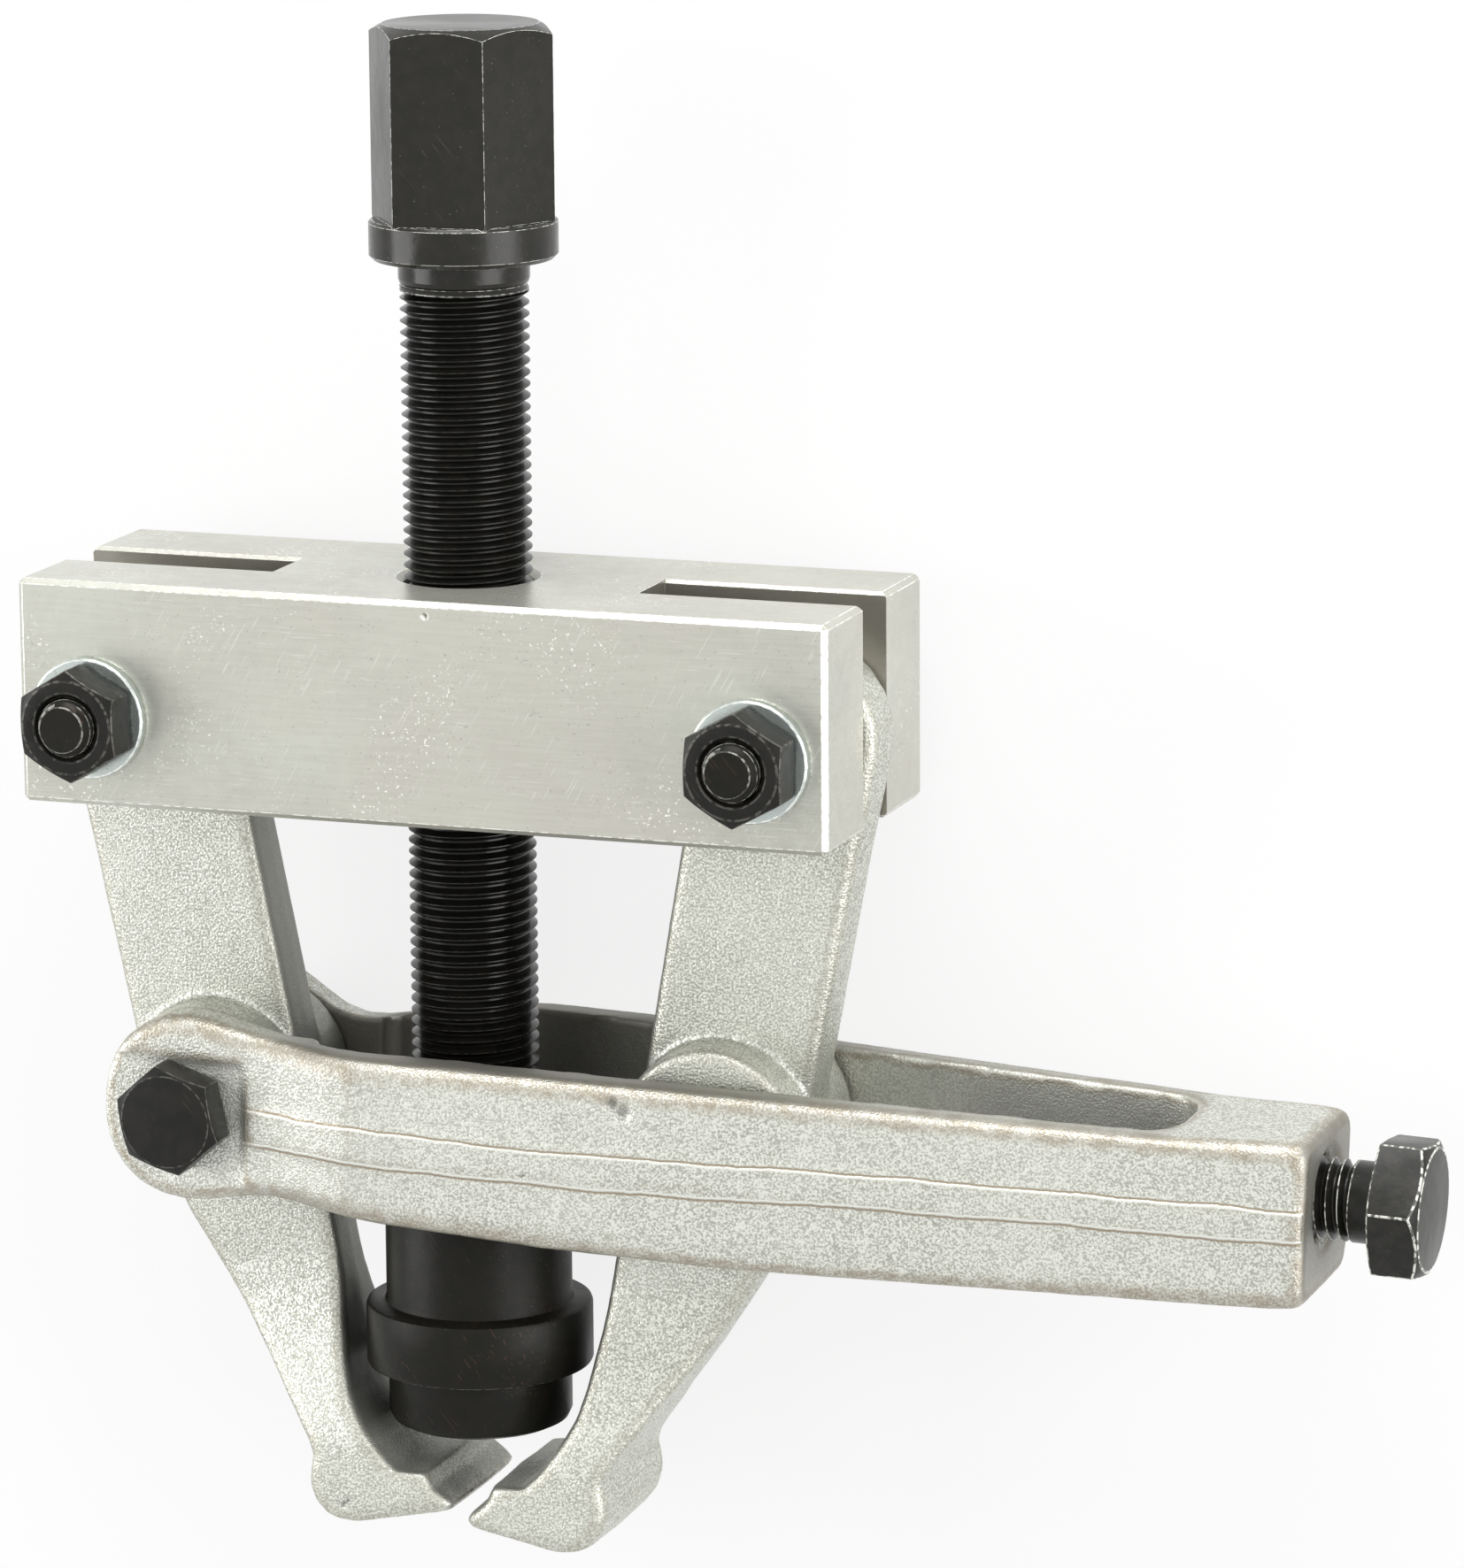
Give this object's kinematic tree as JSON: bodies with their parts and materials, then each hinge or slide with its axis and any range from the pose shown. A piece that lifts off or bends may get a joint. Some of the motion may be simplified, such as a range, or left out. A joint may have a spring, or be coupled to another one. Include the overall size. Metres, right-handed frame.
{
  "type": "bearing ring puller",
  "caption": "Bearing ring puller with a slotted cross beam, hinged claw legs, a pressure spindle with hexagon head and thrust piece, and a side stirrup with clamp screw.",
  "frame": {"origin": "centre of the flat top face of the spindle's hexagon, where a wrench drives the puller", "axes": "+X along the cross beam towards the clamp screw, +Y up the spindle towards its hexagon, +Z out of the front face, so the puller lies on its back on the XY plane"},
  "size_m": [0.2459, 0.2627, 0.0714],
  "materials": {
    "zinc_plated_steel": "satin zinc plated",
    "galvanised_forging": "blasted and galvanised forging",
    "black_oxide_steel": "black oxide, oiled",
    "hardened_steel": "polished",
    "spring_steel": "drawn wire"
  },
  "bodies": {
    "beam": {"beam": "zinc_plated_steel", "left_beam_bolt": "black_oxide_steel", "left_beam_nut": "black_oxide_steel", "left_front_washer": "zinc_plated_steel", "left_rear_washer": "zinc_plated_steel", "right_beam_bolt": "black_oxide_steel", "right_beam_nut": "black_oxide_steel", "right_front_washer": "zinc_plated_steel", "right_rear_washer": "zinc_plated_steel"},
    "left_leg": {"left_leg": "galvanised_forging"},
    "right_leg": {"right_leg": "galvanised_forging"},
    "stirrup": {"stirrup": "galvanised_forging", "stirrup_pivot_bolt": "black_oxide_steel", "stirrup_pivot_nut": "black_oxide_steel"},
    "clamp_screw": {"clamp_screw": "black_oxide_steel"},
    "thrust_piece": {"thrust_piece": "black_oxide_steel", "thrust_ball": "hardened_steel", "retaining_ring": "spring_steel"},
    "spindle": {"spindle": "black_oxide_steel"}
  },
  "joints": [
    {"name": "left_leg_swing", "type": "hinge", "parent": "beam", "child": "left_leg", "pos_m": [-0.0598, -0.1178, 0], "axis": [0, 0, -1], "range_deg": [-0.2, 5.5]},
    {"name": "right_leg_swing", "type": "hinge", "parent": "beam", "child": "right_leg", "pos_m": [0.0598, -0.1178, 0], "axis": [0, 0, 1], "range_deg": [-0.2, 5]},
    {"name": "stirrup_swing", "type": "hinge", "parent": "left_leg", "child": "stirrup", "pos_m": [-0.04596, -0.18724, 0], "axis": [0, 0, -1], "range_deg": [0, 7]},
    {"name": "clamp_screw_feed", "type": "slide", "parent": "stirrup", "child": "clamp_screw", "axis": [0.9995, -0.0332, 0], "range_m": [-0.0055, 0.03]},
    {"name": "spindle_feed", "type": "slide", "parent": "beam", "child": "thrust_piece", "axis": [0, -1, 0], "range_m": [-0.016, 0.00075]},
    {"name": "spindle_turn", "type": "hinge", "parent": "thrust_piece", "child": "spindle", "pos_m": [0, 0, 0], "axis": [0, -1, 0], "range_deg": [-2890, 137]}
  ],
  "couplings": [
    {"joint": "spindle_turn", "follows": "spindle_feed", "rad_per_m": 3141.6}
  ]
}
